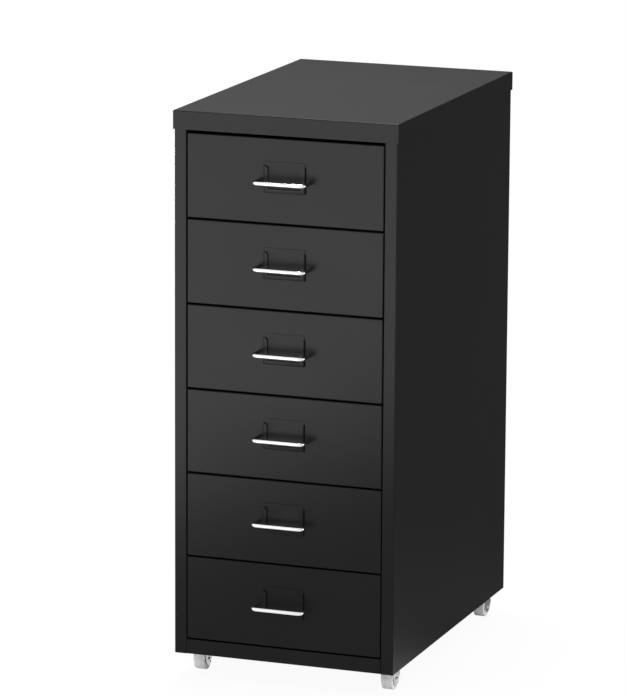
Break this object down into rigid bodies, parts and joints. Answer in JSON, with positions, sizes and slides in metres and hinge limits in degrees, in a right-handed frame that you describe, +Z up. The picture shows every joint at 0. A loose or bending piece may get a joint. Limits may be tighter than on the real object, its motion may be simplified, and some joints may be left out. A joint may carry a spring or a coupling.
{
  "type": "drawer unit on casters",
  "caption": "Narrow steel drawer unit on casters: drawers with wire handles and label holders slide on channel runners in a folded sheet cabinet under a capped lid.",
  "frame": {"origin": "on the floor, under the middle of the unit's width and of its whole depth, handles included", "axes": "+Z up, +X to the right when facing the drawers, -Y the way the drawers open"},
  "size_m": [0.28, 0.4536, 0.69],
  "materials": {
    "black_paint": "satin black powder coat",
    "bright_wire": "bright plated wire",
    "zinc_plate": "zinc plated sheet",
    "grey_wheel": "light grey plastic"
  },
  "bodies": {
    "cabinet": {"top_panel": "black_paint", "left_side_panel": "black_paint", "right_side_panel": "black_paint", "back_panel": "black_paint", "bottom_panel": "black_paint", "left_drawer_runners": "black_paint", "right_drawer_runners": "black_paint", "caster_stems": "zinc_plate"},
    "drawer_1": {"drawer_1_front": "black_paint", "drawer_1_tray": "black_paint", "drawer_1_tray_ends": "black_paint", "drawer_1_label_holder": "black_paint", "drawer_1_handle": "bright_wire"},
    "drawer_2": {"drawer_2_front": "black_paint", "drawer_2_tray": "black_paint", "drawer_2_tray_ends": "black_paint", "drawer_2_label_holder": "black_paint", "drawer_2_handle": "bright_wire"},
    "drawer_3": {"drawer_3_front": "black_paint", "drawer_3_tray": "black_paint", "drawer_3_tray_ends": "black_paint", "drawer_3_label_holder": "black_paint", "drawer_3_handle": "bright_wire"},
    "drawer_4": {"drawer_4_front": "black_paint", "drawer_4_tray": "black_paint", "drawer_4_tray_ends": "black_paint", "drawer_4_label_holder": "black_paint", "drawer_4_handle": "bright_wire"},
    "drawer_5": {"drawer_5_front": "black_paint", "drawer_5_tray": "black_paint", "drawer_5_tray_ends": "black_paint", "drawer_5_label_holder": "black_paint", "drawer_5_handle": "bright_wire"},
    "drawer_6": {"drawer_6_front": "black_paint", "drawer_6_tray": "black_paint", "drawer_6_tray_ends": "black_paint", "drawer_6_label_holder": "black_paint", "drawer_6_handle": "bright_wire"},
    "front_left_caster": {"front_left_caster_hood": "zinc_plate", "front_left_caster_axle": "zinc_plate"},
    "front_left_wheel": {"front_left_caster_wheel": "grey_wheel"},
    "front_right_caster": {"front_right_caster_hood": "zinc_plate", "front_right_caster_axle": "zinc_plate"},
    "front_right_wheel": {"front_right_caster_wheel": "grey_wheel"},
    "rear_left_caster": {"rear_left_caster_hood": "zinc_plate", "rear_left_caster_axle": "zinc_plate"},
    "rear_left_wheel": {"rear_left_caster_wheel": "grey_wheel"},
    "rear_right_caster": {"rear_right_caster_hood": "zinc_plate", "rear_right_caster_axle": "zinc_plate"},
    "rear_right_wheel": {"rear_right_caster_wheel": "grey_wheel"}
  },
  "joints": [
    {"name": "drawer_1_slide", "type": "slide", "parent": "cabinet", "child": "drawer_1", "axis": [0, -1, 0], "range_m": [0, 0.3]},
    {"name": "drawer_2_slide", "type": "slide", "parent": "cabinet", "child": "drawer_2", "axis": [0, -1, 0], "range_m": [0, 0.3]},
    {"name": "drawer_3_slide", "type": "slide", "parent": "cabinet", "child": "drawer_3", "axis": [0, -1, 0], "range_m": [0, 0.3]},
    {"name": "drawer_4_slide", "type": "slide", "parent": "cabinet", "child": "drawer_4", "axis": [0, -1, 0], "range_m": [0, 0.3]},
    {"name": "drawer_5_slide", "type": "slide", "parent": "cabinet", "child": "drawer_5", "axis": [0, -1, 0], "range_m": [0, 0.3]},
    {"name": "drawer_6_slide", "type": "slide", "parent": "cabinet", "child": "drawer_6", "axis": [0, -1, 0], "range_m": [0, 0.3]},
    {"name": "front_left_swivel", "type": "hinge", "parent": "cabinet", "child": "front_left_caster", "pos_m": [-0.12, -0.1632, 0.0277], "axis": [0, 0, 1], "continuous": true},
    {"name": "front_left_wheel_spin", "type": "hinge", "parent": "front_left_caster", "child": "front_left_wheel", "pos_m": [-0.12, -0.1582, 0.0115], "axis": [1, 0, 0], "continuous": true},
    {"name": "front_right_swivel", "type": "hinge", "parent": "cabinet", "child": "front_right_caster", "pos_m": [0.12, -0.1632, 0.0277], "axis": [0, 0, 1], "continuous": true},
    {"name": "front_right_wheel_spin", "type": "hinge", "parent": "front_right_caster", "child": "front_right_wheel", "pos_m": [0.12, -0.1582, 0.0115], "axis": [1, 0, 0], "continuous": true},
    {"name": "rear_left_swivel", "type": "hinge", "parent": "cabinet", "child": "rear_left_caster", "pos_m": [-0.12, 0.1868, 0.0277], "axis": [0, 0, 1], "continuous": true},
    {"name": "rear_left_wheel_spin", "type": "hinge", "parent": "rear_left_caster", "child": "rear_left_wheel", "pos_m": [-0.12, 0.1918, 0.0115], "axis": [1, 0, 0], "continuous": true},
    {"name": "rear_right_swivel", "type": "hinge", "parent": "cabinet", "child": "rear_right_caster", "pos_m": [0.12, 0.1868, 0.0277], "axis": [0, 0, 1], "continuous": true},
    {"name": "rear_right_wheel_spin", "type": "hinge", "parent": "rear_right_caster", "child": "rear_right_wheel", "pos_m": [0.12, 0.1918, 0.0115], "axis": [1, 0, 0], "continuous": true}
  ]
}
